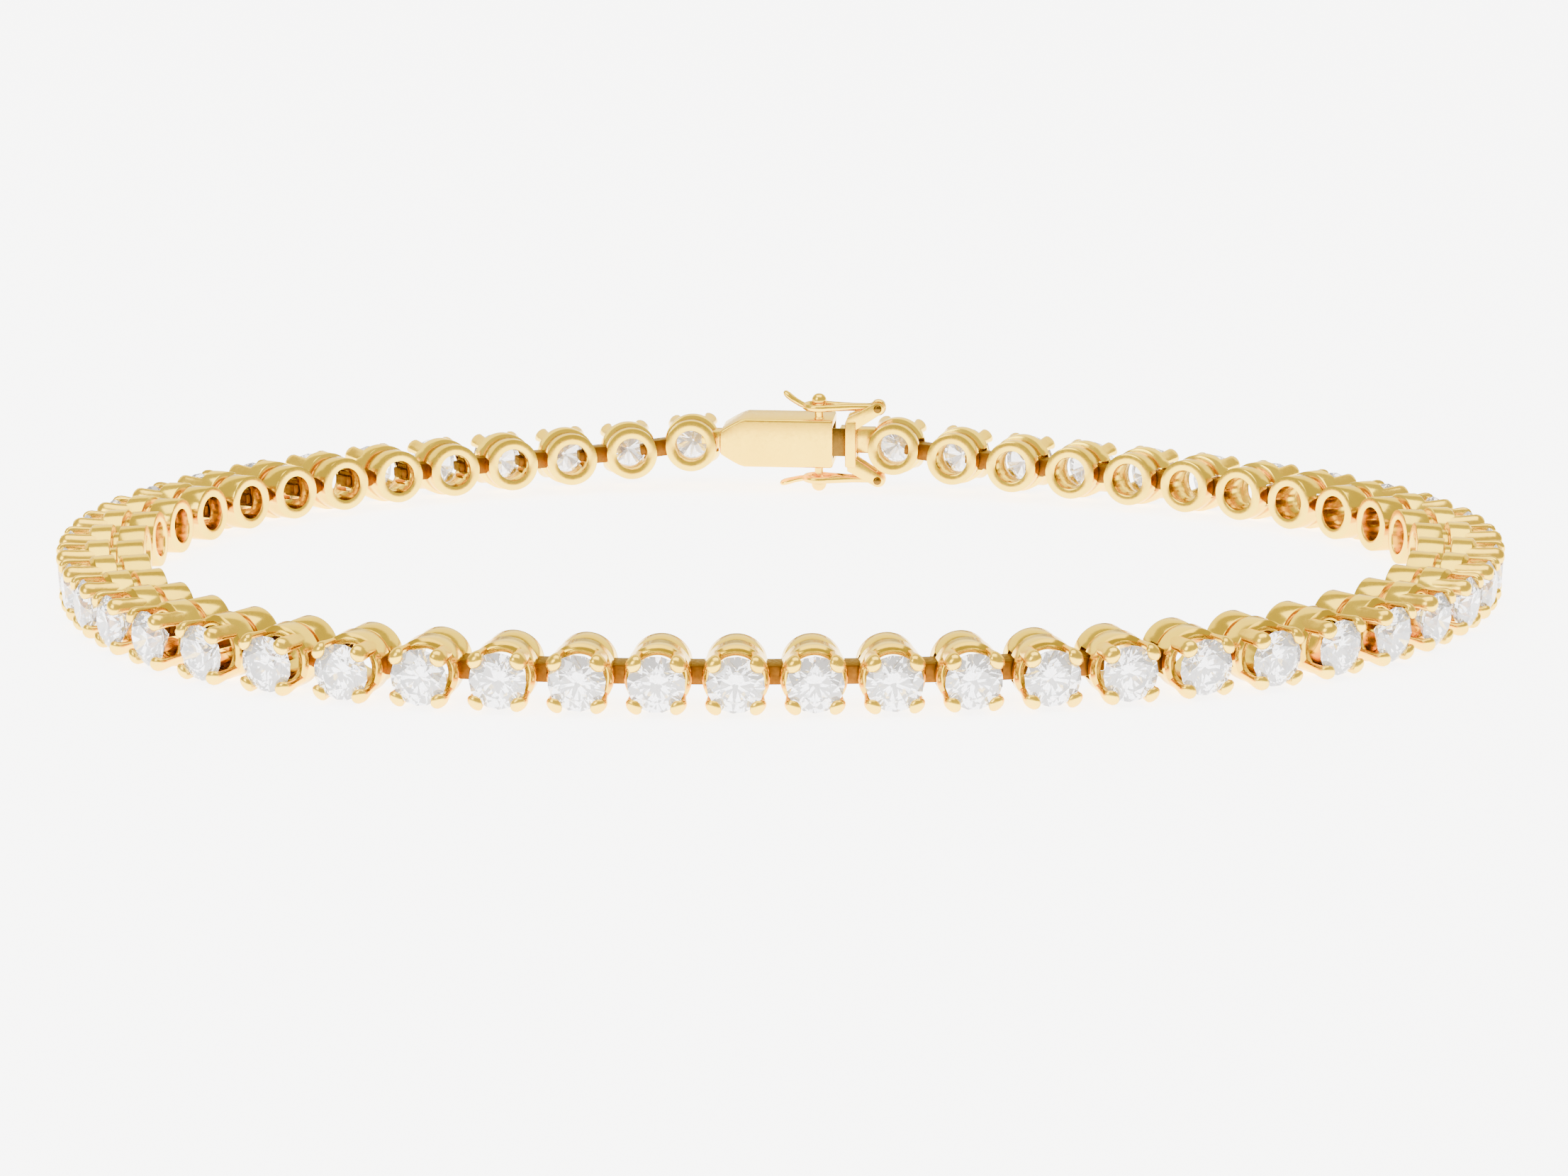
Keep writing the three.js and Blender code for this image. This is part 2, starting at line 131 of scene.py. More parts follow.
# Clasp, along the row and across it
NECK_GAP = 0.57
PLATE_THICKNESS = 0.59
CLASP_SLIT = 0.7
BOX_LENGTH = 6.05
TIP_GAP = 0.13
TAPER_LENGTH = 1.1
BOX_HALF = 1.3
TIP_HALF = 0.6
PLATE_HALF = 1.25
BOX_INNER = 1.2
BOX_OUTER = 1.7
BOX_WALL = 0.4
BOX_POCKET = 4.3
BOX_RIDGE = 0.04
RIDGE_SHARE = 0.2
BOX_CORNER = 0.14
BOX_ARC_STEPS = 5
MOUTH_ROUND = 0.12
TAPER_LEAD = 0.2
TAPER_POWER = 1.25
TAPER_SPACING = 0.25
TAPER_SHARES = (0.15, 0.3, 0.5, 0.7, 0.85, 0.93)
TIP_EASE = 0.05
CLASP_RISE = 0.3
LIFT_REACH = 5.3
LEAF_HALF = 0.75
LEAF_THICKNESS = 0.3
LEAF_LENGTH = 3.3
LEAF_CLEARANCE = 0.2
LEAF_SPREAD = 1.05
LEAF_BEVEL = 0.05
LEAF_LAP = 0.1
PLATE_BEVEL = 0.1
PLATE_BEVEL_STEPS = 3
END_TAB_HALF = 0.65
END_TAB_INNER = 0.12
END_HEAD_LENGTH = 0.24
END_HEAD_DROP = 0.3
END_HEAD_BEVEL = 0.05
END_HEAD_LAP = 0.04

# Catches
CATCH_HEIGHT = 1.95
CATCH_INWARD = 0.5
WIRE_RADIUS = 0.19
SNAP_RADIUS = 0.72
THUMB_LENGTH = 1.4
UPPER_THUMB_SLOPE = math.radians(34)
LOWER_THUMB_SLOPE = math.radians(14)
THUMB_SIDES = 16
WIRE_SIDES = 10
LOOP_OPENING = math.radians(128)
LOOP_ARC_STEPS = 24
EYE_RADIUS = 0.42
EYE_HALF = 0.25
EYE_BEVEL = 0.05
EYE_SIDES = 28
EYE_LAP = 0.1
BORE_RADIUS = 0.26
PIN_RADIUS = 0.14
PIN_REACH = 0.9
PIN_HEAD_RADIUS = 0.22
PIN_DOME = 0.15
PIN_NECK = 0.01
PIN_SIDES = 20
PIN_ARC_START = math.radians(20)
PIN_ARC_STEPS = 4
CHEEK_GAP = 0.12
CHEEK_THICKNESS = 0.24
CHEEK_RADIUS = 0.33
CHEEK_SINK = 0.45
CHEEK_SETBACK = 0.12
CHEEK_SHOULDER = 0.2
CHEEK_BEVEL = 0.04
CHEEK_ARC_START = math.radians(60)
CHEEK_ARC_STEPS = 12
STUD_INSET = 0.76
STUD_REACH = 2.66
STUD_POST = 0.23
STUD_BALL = 0.4
STUD_FLAT = 0.15
STUD_FOOT = 0.1
STUD_FOOT_HEIGHT = 0.09
STUD_SINK = 0.2
STUD_SIDES = 24
STUD_ARC_STEPS = 10

# Claw, up the basket and over the stone: (radius, reach, half width, half thickness)
CLAW_ROWS = (
    (1.32, -1.0, 0.36, 0.16),
    (1.345, -1.5, 0.36, 0.175),
    (1.38, -1.9, 0.37, 0.2),
    (1.41, -2.2, 0.385, 0.23),
    (1.42, -2.4, 0.4, 0.25),
    (1.4, -2.54, 0.405, 0.25),
    (1.335, -2.64, 0.395, 0.235),
    (1.245, -2.7, 0.36, 0.2),
    (1.155, -2.725, 0.29, 0.145),
    (1.08, -2.725, 0.19, 0.08),
    (1.035, -2.72, 0.08, 0.025),
)

# Catch between its snap loop and its eye: (share of the way to the eye, half width)
WAIST_ROWS = ((0.42, 0.34), (0.62, 0.17), (0.82, 0.15), (1, 0.15))

# Thumb of a catch: (share of its length, half width, half thickness)
THUMB_ROWS = (
    (0, 0.24, 0.15),
    (0.2, 0.26, 0.16),
    (0.45, 0.3, 0.16),
    (0.65, 0.36, 0.17),
    (0.82, 0.38, 0.17),
    (0.94, 0.3, 0.14),
    (1, 0.14, 0.06),
)
THUMB_CURL = 0.4

# Camera: its distance and aim from the middle of the loop
CAMERA_ELEVATION = math.radians(13.01)
CAMERA_DISTANCE = 219.1
CAMERA_AIM = Vector((1.26, -0.34, 0.07))
CAMERA_LENS = 103.4
SENSOR_WIDTH = 36
CLIP_NEAR = 0.005
CLIP_FAR = 20

# Gold of each kind of piece: (bright colour, deep colour, roughness); all are one gold, and the darker
# ring, rim, tab and leaf colours are painted shade
# Bright and deep are the ends of a random cloudy tone on each kind
GOLDS_WITH_PAINTED_SHADE = {
    "basket": ((0.94, 0.65, 0.046), (0.89, 0.59, 0.034), 0.15),
    "ring": ((0.82, 0.55, 0.034), (0.74, 0.48, 0.026), 0.17),
    "rim": ((0.7, 0.45, 0.024), (0.62, 0.38, 0.018), 0.16),
    "claw": ((0.9, 0.59, 0.044), (0.84, 0.53, 0.034), 0.22),
    "tab": ((0.18, 0.07, 0.007), (0.14, 0.052, 0.005), 0.45),
    "leaf": ((0.14, 0.07, 0.01), (0.11, 0.055, 0.008), 0.3),
    "clasp": ((0.88, 0.57, 0.028), (0.83, 0.52, 0.022), 0.22),
}
GRAZING_TINT = (1, 0.88, 0.5, 1)
CLOUD_SCALE = 420
CLOUD_DETAIL = 3
CLOUD_LOW = 0.35
CLOUD_HIGH = 0.65
MARK_SCALE = 5200
MARK_DETAIL = 4
MARK_LOW = 0.3
MARK_HIGH = 0.7
GLOSSY_SHARE = 0.75
DULL_SHARE = 1.3
MARK_STRENGTH = 0.12
MARK_DEPTH = 0.00001

STONE_COLOUR = (0.955, 0.95, 0.98, 1)
STONE_INDEX = 2.42
STONE_CLARITY = 0.92
# Faint painted glow that lifts the stones towards white
STONE_PAINTED_GLOW_COLOUR = (1, 0.99, 1, 1)
STONE_PAINTED_GLOW = 0.06

# Angles in degrees above which an edge stays sharp; 0 leaves every facet flat
SETTING_CREASE = 35
CLASP_CREASE = 40
CLAW_CREASE = 60

# Floor and light, in metres and watts
FLOOR_HALF = 3
FLOOR_DROP = 0.00004
FLOOR_COLOUR = (0.9, 0.9, 0.9, 1)
FLOOR_ROUGHNESS = 0.9
FLOOR_GLOW_COLOUR = (1, 1, 1, 1)
FLOOR_GLOW = 5.5
SKY_COLOUR = (1, 0.93, 0.8, 1)
SKY_STRENGTH = 1.1

# Lights aimed at the middle: (name, place, size, power)
LIGHTS = (
    ("backdrop", (0, 0.75, 0.3), (1.8, 0.5), 5),
    ("overhead", (0, 0, 0.6), (0.7, 0.5), 5),
    ("key_left", (-0.4, -0.35, 0.35), (0.3, 0.3), 2),
)

UP = Vector((0, 0, 1))

# Worked out from the sizes above
wall_middle = (RING_RADIUS + HOLE_RADIUS) / 2
neck_reach = BASKET_RADIUS + NECK_GAP
tip_reach = BASKET_RADIUS + TIP_GAP
clasp_span = neck_reach + PLATE_THICKNESS + CLASP_SLIT + BOX_LENGTH + tip_reach
loop_length = (LEFT_LINKS + RIGHT_LINKS - 1) * LINK_PITCH + clasp_span
side_reach = BASKET_RADIUS * math.sqrt(math.cos(math.pi / CAD_SIDES))
first_link = -LEFT_LINKS
last_link = RIGHT_LINKS - 1


# Loop and frames

def outline_at(t):
    """Loop outline seen from above, for a half width of 1."""
    across = np.sin(t) + CORNER_SHARE * np.sin(4 * t) + LEAN_SHARE * np.cos(2 * t)
    even = np.cos(t) + EGG_SHARE * np.cos(2 * t) + FLAT_SHARE * np.cos(3 * t)
    odd = TWIST_SHARE * np.sin(2 * t) + SKEW_SHARE * np.sin(3 * t)
    return across, -DEPTH_SHARE * (even + odd)


turns = np.linspace(0, 2 * math.pi, LOOP_STEPS + 1)
outline_x, outline_y = outline_at(turns)
outline_steps = np.hypot(np.diff(outline_x), np.diff(outline_y))
outline_run = np.concatenate([[0], np.cumsum(outline_steps)])
loop_scale = loop_length / outline_run[-1]


def along_loop(link):
    """How far round the loop a link's hinge lies, from the front."""
    return (link * LINK_PITCH + ROW_SHIFT) % loop_length


def link_dip(link):
    """How far a link leans outwards: least at the front, most at the back."""
    return DIP_MEAN - DIP_SWING * math.cos(2 * math.pi * along_loop(link) / loop_length)


def stand_height(dip):
    """Height of a link's middle when its basket stands on the floor."""
    return side_reach * math.cos(dip) + SCOOP_REACH * math.sin(dip)


end_lift = STUD_REACH - stand_height(DIP_MEAN + DIP_SWING) - CLASP_RISE


def hinge_point(link):
    """Middle of a link's hinge line."""
    turn = np.interp(along_loop(link) / loop_scale, outline_run, turns)
    x, y = outline_at(turn)
    from_end = min(link - first_link, last_link - link) * LINK_PITCH
    lift = end_lift * math.exp(-from_end / LIFT_REACH)
    return Vector((float(x) * loop_scale, float(y) * loop_scale, stand_height(link_dip(link)) + lift))


def row_frame(origin, forward, dip):
    """Frame with x forward along the row, y inwards and z up, dipped about x."""
    x = forward.normalized()
    outward = x.cross(UP).normalized()
    rise = outward.cross(x)
    y = rise * math.sin(dip) - outward * math.cos(dip)
    z = x.cross(y)
    turned = Matrix((x, y, z)).transposed().to_4x4()
    return Matrix.Translation(origin) @ turned


clasp_start = hinge_point(last_link)
clasp_end = hinge_point(first_link)
half_span = (clasp_end - clasp_start).length / 2
clasp_middle = (clasp_start + clasp_end) / 2 + UP * CLASP_RISE
clasp_frame = row_frame(clasp_middle, clasp_end - clasp_start, 0)
plate_start = -half_span + neck_reach
plate_end = plate_start + PLATE_THICKNESS
tip = half_span - tip_reach
mouth = tip - BOX_LENGTH
stud_along = mouth + STUD_INSET
pin_along = -half_span + PIN_REACH


def link_frame(link):
    before = clasp_middle if link == first_link else hinge_point(link - 1)
    after = clasp_middle if link == last_link else hinge_point(link + 1)
    return row_frame(hinge_point(link), after - before, link_dip(link))


def hinge_frame(link):
    """Frame of the hinge at a link's slot, in line with the link before it."""
    here = hinge_point(link)
    return row_frame(here, here - hinge_point(link - 1), link_dip(link))


# The frame's upper hinge says where the loop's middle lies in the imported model.
upper_hinge = next(j for j in frame["joints"] if j["name"] == "upper_catch_hinge")
pin_place = clasp_frame @ Vector((pin_along, CATCH_INWARD, CATCH_HEIGHT))
loop_middle = Vector(upper_hinge["pos_m"]) / MM - pin_place
to_model = Matrix.Translation(loop_middle)


# Mesh making: a form is (points, faces) in millimetres

def skin(rings, wrap=False):
    """Surface through rings of equally many points; wrap joins the last ring to the first."""
    points = np.concatenate([np.asarray(ring, float) for ring in rings])
    count = len(rings[0])
    rows = len(rings)
    faces = []
    for row in range(rows if wrap else rows - 1):
        here = row * count
        there = (row + 1) % rows * count
        for k in range(count):
            after = (k + 1) % count
            faces.append((here + k, here + after, there + after, there + k))
    if not wrap:
        faces.append(tuple(range(count))[::-1])
        faces.append(tuple(range((rows - 1) * count, rows * count)))
    return points, faces


def lathe(profile, sides, wrap=False):
    """Profile of (radius, height along y) turned about y."""
    angles = 2 * math.pi * np.arange(sides) / sides
    rings = [
        np.stack([r * np.sin(angles), np.full(sides, y), r * np.cos(angles)], axis=1)
        for r, y in profile
    ]
    return skin(rings, wrap)


def moved(form, matrix):
    points, faces = form
    turn = np.array(matrix.to_3x3())
    return points @ turn.T + np.array(matrix.translation), faces


def together(forms):
    points = []
    faces = []
    count = 0
    for form_points, form_faces in forms:
        points.append(form_points)
        faces.extend(tuple(i + count for i in face) for face in form_faces)
        count += len(form_points)
    return np.concatenate(points), faces


def rounded_block(low, high, radius, steps=BEVEL_STEPS):
    """Block with bevelled edges."""
    shape = bmesh.new()
    bmesh.ops.create_cube(shape, size=1)
    size = [b - a for a, b in zip(low, high)]
    centre = [(a + b) / 2 for a, b in zip(low, high)]
    bmesh.ops.scale(shape, vec=size, verts=shape.verts)
    bmesh.ops.translate(shape, vec=centre, verts=shape.verts)
    if radius:
        bmesh.ops.bevel(
            shape, geom=shape.edges[:], offset=radius, segments=steps, profile=0.5, affect="EDGES"
        )
    return form_of(shape)


def form_of(shape):
    shape.verts.index_update()
    points = np.array([v.co[:] for v in shape.verts])
    faces = [tuple(v.index for v in face.verts) for face in shape.faces]
    shape.free()
    return points, faces


def mesh_of(form, name):
    points, faces = form
    mesh = bpy.data.meshes.new(name)
    mesh.from_pydata(points.tolist(), [], faces)
    shape = bmesh.new()
    shape.from_mesh(mesh)
    bmesh.ops.recalc_face_normals(shape, faces=shape.faces)
    shape.to_mesh(mesh)
    shape.free()
    return mesh


def cut(form, cutter):
    """Form less the cutter, both closed."""
    whole = bpy.data.objects.new("whole", mesh_of(form, "whole"))
    tool = bpy.data.objects.new("tool", mesh_of(cutter, "tool"))
    for thing in (whole, tool):
        bpy.context.scene.collection.objects.link(thing)
    boolean = whole.modifiers.new("cut", "BOOLEAN")
    boolean.operation = "DIFFERENCE"
    boolean.solver = "EXACT"
    boolean.object = tool
    bpy.context.view_layer.update()
    result = whole.evaluated_get(bpy.context.evaluated_depsgraph_get())
    shape = bmesh.new()
    shape.from_mesh(result.to_mesh())
    result.to_mesh_clear()
    for thing in (whole, tool):
        mesh = thing.data
        bpy.data.objects.remove(thing)
        bpy.data.meshes.remove(mesh)
    return form_of(shape)


def piece(name, form, material, body, nodes, crease):
    """Finished piece in metres, riding on its body and standing for its nodes."""
    points, faces = moved(form, to_model)
    mesh = mesh_of((points * MM, faces), name)
    mesh.materials.append(material)
    mesh.polygons.foreach_set("use_smooth", [crease > 0] * len(mesh.polygons))
    if crease:
        mesh.set_sharp_from_angle(angle=math.radians(crease))
    thing = bpy.data.objects.new(name, mesh)
    bpy.context.scene.collection.objects.link(thing)
    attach(thing, body)
    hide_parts(*nodes)


def sweep(path, across, sides):
    """Tube along a path in x and z: rows of (x, z, half width along y, half thickness)."""
    rows = np.array(path, float)
    ways = np.gradient(rows[:, :2], axis=0)
    ways /= np.linalg.norm(ways, axis=1)[:, None]
    angles = 2 * math.pi * np.arange(sides) / sides
    rings = []
    for (x, z, width, thickness), (way_x, way_z) in zip(rows, ways):
        offset = thickness * np.sin(angles)
        rings.append(
            np.stack([x - way_z * offset, across + width * np.cos(angles), z + way_x * offset], axis=1)
        )
    return skin(rings)


# Link: setting, claws and stone in the link's frame, y inwards

def slotted(form):
    """Form with the slot for the tab of the link before."""
    slot = rounded_block(
        (-BASKET_RADIUS - CUT_OVERRUN, -TAB_OUTER - HINGE_CLEARANCE, -TAB_HALF - HINGE_CLEARANCE),
        (-HOLE_RADIUS / 3, TAB_INNER + HINGE_CLEARANCE, TAB_HALF + HINGE_CLEARANCE),
        0,
    )
    return cut(form, slot)


def ring_form():
    """Base ring, from the open end to the floor of the groove."""
    groove_floor = RING_RADIUS - GROOVE_DEPTH
    groove_wall = GROOVE_HALF - GROOVE_REACH
    groove_end = -GROOVE_REACH - GROOVE_HALF
    return slotted(lathe(
        [
            (HOLE_RADIUS, RIM_REACH - RING_BEVEL),
            (HOLE_RADIUS + CORNER_CUT, RIM_REACH - CORNER_CUT),
            (HOLE_RADIUS + RING_BEVEL, RIM_REACH),
            (RING_RADIUS - RING_BEVEL, RIM_REACH),
            (RING_RADIUS - CORNER_CUT, RIM_REACH - CORNER_CUT),
            (RING_RADIUS, RIM_REACH - RING_BEVEL),
            (RING_RADIUS, groove_wall + GROOVE_BEVEL),
            (RING_RADIUS - CORNER_CUT, groove_wall + CORNER_CUT / 2),
            (RING_RADIUS - GROOVE_BEVEL, groove_wall),
            (groove_floor + GROOVE_EASE, groove_wall - CORNER_CUT),
            (groove_floor, groove_wall - 2 * GROOVE_EASE),
            (groove_floor, groove_end),
            (HOLE_RADIUS, groove_end),
        ],
        SETTING_SIDES,
        wrap=True,
    ))


def basket_form():
    """Basket, from the floor of the groove to its rim."""
    start = -GROOVE_REACH - GROOVE_HALF
    groove_floor = RING_RADIUS - GROOVE_DEPTH
    return slotted(lathe(
        [
            (HOLE_RADIUS, start + SETTING_LAP),
            (groove_floor, start + SETTING_LAP),
            (groove_floor + GROOVE_EASE, start + CORNER_CUT / 2),
            (BASKET_RADIUS - BASKET_BEVEL, start),
            (BASKET_RADIUS - CORNER_CUT, start - CORNER_CUT),
            (BASKET_RADIUS, start - BASKET_BEVEL),
            (BASKET_RADIUS, RIM_START),
            (SEAT_RADIUS - RIM_LAP, RIM_START),
            (HOLE_RADIUS, -SEAT_FOOT),
        ],
        SETTING_SIDES,
        wrap=True,
    ))


def rim_form():
    """Bevelled edge of the basket, seen between the claws."""
    return lathe(
        [
            (SEAT_RADIUS - RIM_LAP, RIM_START + RIM_LAP),
            (BASKET_RADIUS - RIM_LAP, RIM_START + RIM_LAP),
            (BASKET_RADIUS, RIM_START),
            (BASKET_RADIUS - CORNER_CUT, EDGE_BEVEL - CORNER_CUT / 2 - SCOOP_REACH),
            (BASKET_RADIUS - EDGE_BEVEL, CORNER_CUT / 2 - SCOOP_REACH),
            (BASKET_RADIUS - EDGE_BEVEL - EDGE_EASE, -SCOOP_REACH),
            (SEAT_RADIUS + SEAT_EASE, -SCOOP_REACH),
            (SEAT_RADIUS + EDGE_EASE / 2, EDGE_EASE / 2 - SCOOP_REACH),
            (SEAT_RADIUS, SEAT_EASE - SCOOP_REACH),
        ],
        SETTING_SIDES,
        wrap=True,
    )


def claw_form():
    """Claw up the basket and over the stone's edge, with a round tip."""
    upright = sweep(CLAW_ROWS, 0, CLAW_SIDES)
    # The sweep lies in x and z: its z becomes the link's y.
    return moved(upright, Matrix.Rotation(-math.pi / 2, 4, "X"))


def claws_form():
    claw = claw_form()
    turn = 2 * math.pi / CLAW_COUNT
    return together(
        moved(claw, Matrix.Rotation(turn * (k + 0.5), 4, "Y")) for k in range(CLAW_COUNT)
    )


def stone_form():
    """Round brilliant about y: table, 8 star, 8 kite, 16 upper, 16 lower and 8 main facets."""
    folds = BRILLIANT_FOLDS
    radius = STONE_RADIUS
    table = TABLE_SHARE * radius
    half_step = math.pi / folds
    table_flat = table * math.cos(half_step)
    star = table_flat + STAR_SHARE * (radius - table_flat)
    crown_share = (radius - star * math.cos(half_step)) / (radius - table)
    lower = (1 - LOWER_SHARE) * radius
    lower_share = 1 - lower * math.cos(half_step) / radius
    girdle_top = -GIRDLE_REACH - GIRDLE_HEIGHT / 2
    girdle_low = -GIRDLE_REACH + GIRDLE_HEIGHT / 2
    table_place = girdle_top - CROWN_HEIGHT
    points = []

    def ring(count, r, y, shift):
        start = len(points)
        for k in range(count):
            angle = 2 * math.pi * (k + shift) / count
            points.append((r * math.sin(angle), y, r * math.cos(angle)))
        return [start + k for k in range(count)]

    tables = ring(folds, table, table_place, 0.5)
    stars = ring(folds, star, girdle_top - CROWN_HEIGHT * crown_share, 0)
    uppers = ring(2 * folds, radius, girdle_top, 0)
    girdles = ring(2 * folds, radius, girdle_low, 0)
    lowers = ring(folds, lower, girdle_low + PAVILION_DEPTH * lower_share, 0)
    points.append((0, girdle_low + PAVILION_DEPTH, 0))
    culet = len(points) - 1
    faces = [tuple(tables)]
    for k in range(folds):
        after = (k + 1) % folds
        here = 2 * k
        corner = here + 1
        beyond = 2 * after
        faces += [
            (tables[k - 1], tables[k], stars[k]),
            (tables[k], stars[after], uppers[corner], stars[k]),
            (stars[k], uppers[corner], uppers[here]),
            (stars[after], uppers[beyond], uppers[corner]),
            (uppers[here], uppers[corner], girdles[corner], girdles[here]),
            (uppers[corner], uppers[beyond], girdles[beyond], girdles[corner]),
            (girdles[here], girdles[corner], lowers[k]),
            (girdles[corner], girdles[beyond], lowers[after]),
            (lowers[k], girdles[corner], lowers[after], culet),
        ]
    return np.array(points), faces


def tab_form(start, end, half=TAB_HALF, inner=TAB_INNER):
    return rounded_block((start, -TAB_OUTER, -half), (end, inner, half), TAB_BEVEL)


def link_tab_form(start):
    """Tab of a link, drawn in to a narrower nose where it shows in the next ring's hole."""
    nose = rounded_block(
        (-HOLE_RADIUS - NOSE_LAP, NOSE_STEP - TAB_OUTER, -NOSE_HALF),
        (TAB_SHOW - HOLE_RADIUS, TAB_INNER, NOSE_HALF),
        TAB_BEVEL,
    )
    return together([tab_form(start, -HOLE_RADIUS - CORNER_CUT), nose])


def run_forms(from_link, to_link):
    """Settings, claws, stones and tabs of a run of links."""
    ring = ring_form()
    basket = basket_form()
    rim = rim_form()
    claws = claws_form()
    stone = stone_form()
    forms = {"rings": [], "baskets": [], "rims": [], "claws": [], "stones": [], "tabs": []}
    for link in range(from_link, to_link + 1):
        place = link_frame(link)
        spin = Matrix.Rotation(STONE_SPIN * link, 4, "Y")
        forms["rings"].append(moved(ring, place))
        forms["baskets"].append(moved(basket, place))
        forms["rims"].append(moved(rim, place))
        forms["claws"].append(moved(claws, place))
        forms["stones"].append(moved(stone, place @ spin))
        if link > first_link:
            reach = (hinge_point(link) - hinge_point(link - 1)).length
            forms["tabs"].append(moved(link_tab_form(wall_middle - reach), hinge_frame(link)))
    return {name: together(parts) for name, parts in forms.items()}


# Clasp, in the clasp's frame

def box_section(half, outer, inner):
    """Rounded section in y and z, with a shallow ridge along the inner face."""
    points = []
    for centre_y, centre_z, first in (
        (inner - BOX_CORNER, half - BOX_CORNER, 0),
        (BOX_CORNER - outer, half - BOX_CORNER, 90),
        (BOX_CORNER - outer, BOX_CORNER - half, 180),
        (inner - BOX_CORNER, BOX_CORNER - half, 270),
    ):
        for step in range(BOX_ARC_STEPS + 1):
            angle = math.radians(first + 90 * step / BOX_ARC_STEPS)
            y = centre_y + BOX_CORNER * math.cos(angle)
            z = centre_z + BOX_CORNER * math.sin(angle)
            points.append((y, z))
    points.append((inner + BOX_RIDGE, RIDGE_SHARE * half))
    return points


def box_form():
    """Hollow box, drawn in towards its chain end, with a pocket for the leaf."""
    taper = tip - TAPER_LENGTH
    stations = [
        (mouth, -MOUTH_ROUND / 2),
        (mouth + MOUTH_ROUND / 3, -MOUTH_ROUND / 6),
        (mouth + MOUTH_ROUND, 0),
        (taper - TAPER_SPACING * 2, 0),
        (taper - TAPER_SPACING, 0),
        (taper, 0),
    ]
    stations += [(taper + share * TAPER_LENGTH, 0) for share in TAPER_SHARES]
    stations += [(tip - CORNER_CUT, -TIP_EASE), (tip, -MOUTH_ROUND)]
    rings = []
    for x, inset in stations:
        share = max(0, (x - taper + TAPER_LEAD) / (TAPER_LENGTH + TAPER_LEAD))
        half = BOX_HALF - (BOX_HALF - TIP_HALF) * share ** TAPER_POWER
        section = box_section(half + inset, BOX_OUTER + inset, BOX_INNER + inset)
        rings.append([(x, y, z) for y, z in section])
    pocket = rounded_block(
        (mouth - CUT_OVERRUN, BOX_WALL - BOX_OUTER, BOX_WALL - BOX_HALF),
        (mouth + BOX_POCKET, BOX_INNER - BOX_WALL, BOX_HALF - BOX_WALL),
        0,
    )
    return cut(skin(rings), pocket)


def stud_form(side):
    """Post with a ball, flat on top, that a catch snaps over."""
    ball_middle = STUD_REACH - STUD_BALL
    neck = math.asin(STUD_POST / STUD_BALL)
    flat = math.pi - math.asin(STUD_FLAT / STUD_BALL)
    profile = [
        (STUD_POST + STUD_FOOT, BOX_HALF - STUD_SINK),
        (STUD_POST + STUD_FOOT, BOX_HALF),
        (STUD_POST, BOX_HALF + STUD_FOOT_HEIGHT),
    ]
    for step in range(STUD_ARC_STEPS + 1):
        angle = neck + (flat - neck) * step / STUD_ARC_STEPS
        profile.append((STUD_BALL * math.sin(angle), ball_middle - STUD_BALL * math.cos(angle)))
    stud = lathe(profile, STUD_SIDES)
    turned = moved(stud, Matrix.Rotation(side * math.pi / 2, 4, "X"))
    return moved(turned, Matrix.Translation((stud_along, CATCH_INWARD, 0)))


def box_tab_form():
    return moved(link_tab_form(-tip_reach - BOX_WALL), Matrix.Translation((half_span, 0, 0)))


def cheek_form(side, middle):
    """Plate from the end plate up to the pin, with a round end."""
    low = PLATE_HALF - CHEEK_SINK
    back = plate_end - CHEEK_SETBACK
    outline = [(plate_start, low), (back, low), (back, PLATE_HALF + CHEEK_SHOULDER)]
    for step in range(CHEEK_ARC_STEPS + 1):
        angle = CHEEK_ARC_START + math.pi * step / CHEEK_ARC_STEPS
        x = pin_along + CHEEK_RADIUS * math.cos(angle)
        z = CATCH_HEIGHT + CHEEK_RADIUS * math.sin(angle)
        outline.append((x, z))
    shape = bmesh.new()
    half = CHEEK_THICKNESS / 2
    corners = [shape.verts.new((x, middle - half, side * z)) for x, z in outline]
    face = shape.faces.new(corners)
    extruded = bmesh.ops.extrude_face_region(shape, geom=[face])
    lifted = [part for part in extruded["geom"] if isinstance(part, bmesh.types.BMVert)]
    bmesh.ops.translate(shape, vec=(0, CHEEK_THICKNESS, 0), verts=lifted)
    bmesh.ops.bevel(
        shape,
        geom=shape.edges[:],
        offset=CHEEK_BEVEL,
        segments=BEVEL_STEPS,
        profile=0.5,
        affect="EDGES",
        clamp_overlap=True,
    )
    return form_of(shape)


def pin_form(side):
    """Hinge pin with a domed head at each end."""
    reach = EYE_HALF + CHEEK_GAP + CHEEK_THICKNESS
    dome = []
    for step in range(PIN_ARC_STEPS + 1):
        angle = PIN_ARC_START + (math.pi / 2 - PIN_ARC_START) * step / PIN_ARC_STEPS
        dome.append((PIN_HEAD_RADIUS * math.sin(angle), reach + PIN_DOME * math.cos(angle)))
    neck = reach - PIN_NECK
    profile = [(radius, -y) for radius, y in dome]
    profile += [(PIN_RADIUS, -neck), (PIN_RADIUS, neck)]
    profile += dome[::-1]
    pin = lathe(profile, PIN_SIDES)
    return moved(pin, Matrix.Translation((pin_along, CATCH_INWARD, side * CATCH_HEIGHT)))


